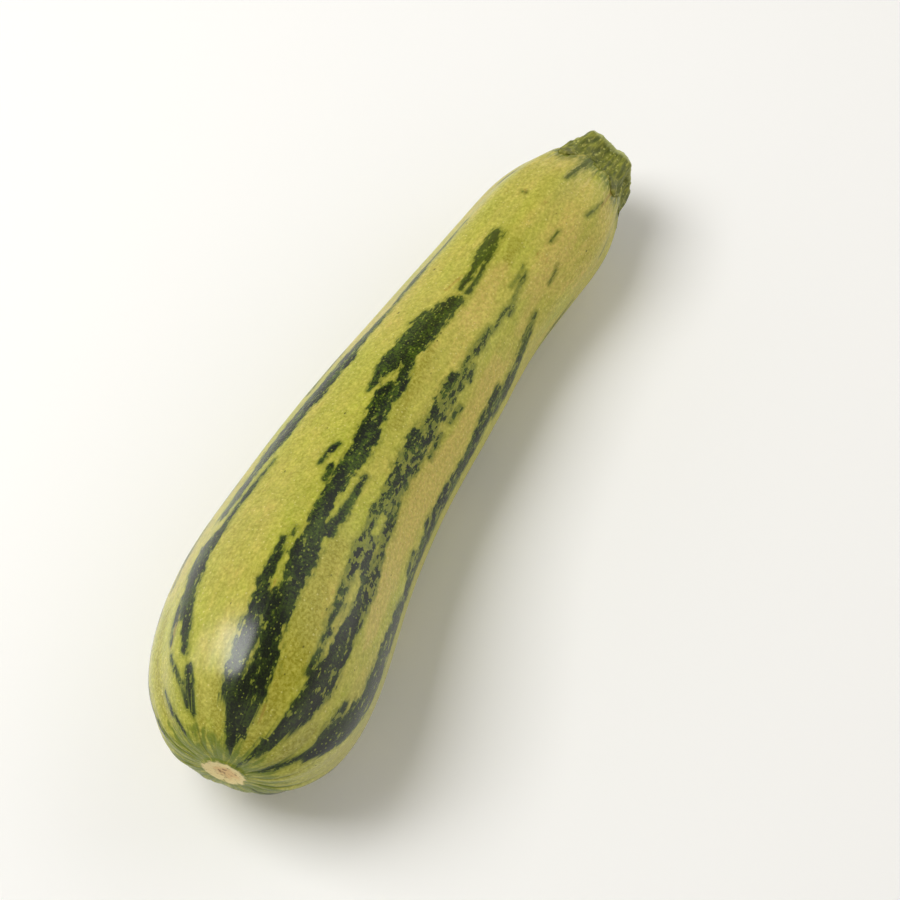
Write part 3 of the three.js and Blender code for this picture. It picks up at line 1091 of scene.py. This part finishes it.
# %% [markdown]
# Both finished pieces ride on the one body of the model and stand for its two solids. Normals
# are smoothed all over, because a vegetable has no hard edges except round the cut.

# %% Put the pieces on the frame
for piece, node_name, slot_name in ((fruit, "fruit", "skin"), (stalk, "stalk", "stalk")):
    only(piece)
    bpy.ops.object.shade_smooth()
    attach(piece, "root")
    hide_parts(node_name)
    print(piece.name, "stands for the solid", node_name)

# %% [markdown]
# The setting is plain, as in a product photograph: a pale floor, and a sky that is bright low
# down, where it fills the shadows, and dim overhead, where it would veil the dark stripes.

# %% Floor and sky
FLOOR_SIZE = 6
FLOOR_COLOUR = (0.9, 0.9, 0.9, 1)
FLOOR_ROUGHNESS = 0.9
bpy.ops.mesh.primitive_plane_add(size=FLOOR_SIZE, location=(0, 0, 0))
floor = bpy.context.object
floor.name = "floor"
paper = bpy.data.materials.new("pale_paper")
paper.use_nodes = True
surface = paper.node_tree.nodes["Principled BSDF"]
surface.inputs["Base Color"].default_value = FLOOR_COLOUR
surface.inputs["Roughness"].default_value = FLOOR_ROUGHNESS
floor.data.materials.append(paper)

SKY_LOW = (1.1, 1.06, 0.98, 1)
SKY_HIGH = (0.2, 0.19, 0.16, 1)
SKY_STRENGTH = 0.88
sky = bpy.data.worlds.new("studio_sky")
sky.use_nodes = True
tree = sky.node_tree
direction = add_node(tree, "TexCoord").outputs["Generated"]
height = add_node(tree, "SeparateXYZ")
feed(tree, height.inputs[0], direction)
sky_colour = tint(tree, fade(tree, height.outputs[2], 0.1, 0.9), SKY_LOW, SKY_HIGH)
feed(tree, tree.nodes["Background"].inputs["Color"], sky_colour)
tree.nodes["Background"].inputs["Strength"].default_value = SKY_STRENGTH
bpy.context.scene.world = sky
print("floor", FLOOR_SIZE, "m wide")

# %% [markdown]
# The photo's one soft highlight lies on top of the thick end, so the key light is high up and to
# the left, towards the scar. A wide, weak fill stands low beyond the stalk, so that the neck isn't
# lost in shade. The photo's darks are deeper than the plain view shows them, so the picture gets a
# little contrast too.

# %% Key light, fill light and contrast
LIGHT_TARGET = Vector((-0.04, 0, 0.02))
KEY_PLACE = Vector((-0.18, 0.45, 0.86))
KEY_SIZE = (0.5, 0.6)
KEY_ENERGY = 6.3
FILL_PLACE = Vector((0.72, -0.42, 0.52))
FILL_SIZE = (1.1, 1.1)
FILL_ENERGY = 2.2


def soft_light(name, light_place, size, energy):
    """A lit rectangle, in metres and watts, turned towards the fruit."""
    turned = (LIGHT_TARGET - light_place).to_track_quat("-Z", "Y").to_euler()
    bpy.ops.object.light_add(type="AREA", location=light_place, rotation=turned)
    light = bpy.context.object
    light.name = name
    light.data.shape = "RECTANGLE"
    light.data.size, light.data.size_y = size
    light.data.energy = energy


soft_light("key_light", KEY_PLACE, KEY_SIZE, KEY_ENERGY)
soft_light("fill_light", FILL_PLACE, FILL_SIZE, FILL_ENERGY)

EXPOSURE = 0.13
GAMMA = 0.91
view = bpy.context.scene.view_settings
view.view_transform = "Standard"
view.exposure = EXPOSURE
view.gamma = GAMMA
print("key", KEY_ENERGY, "W, fill", FILL_ENERGY, "W")
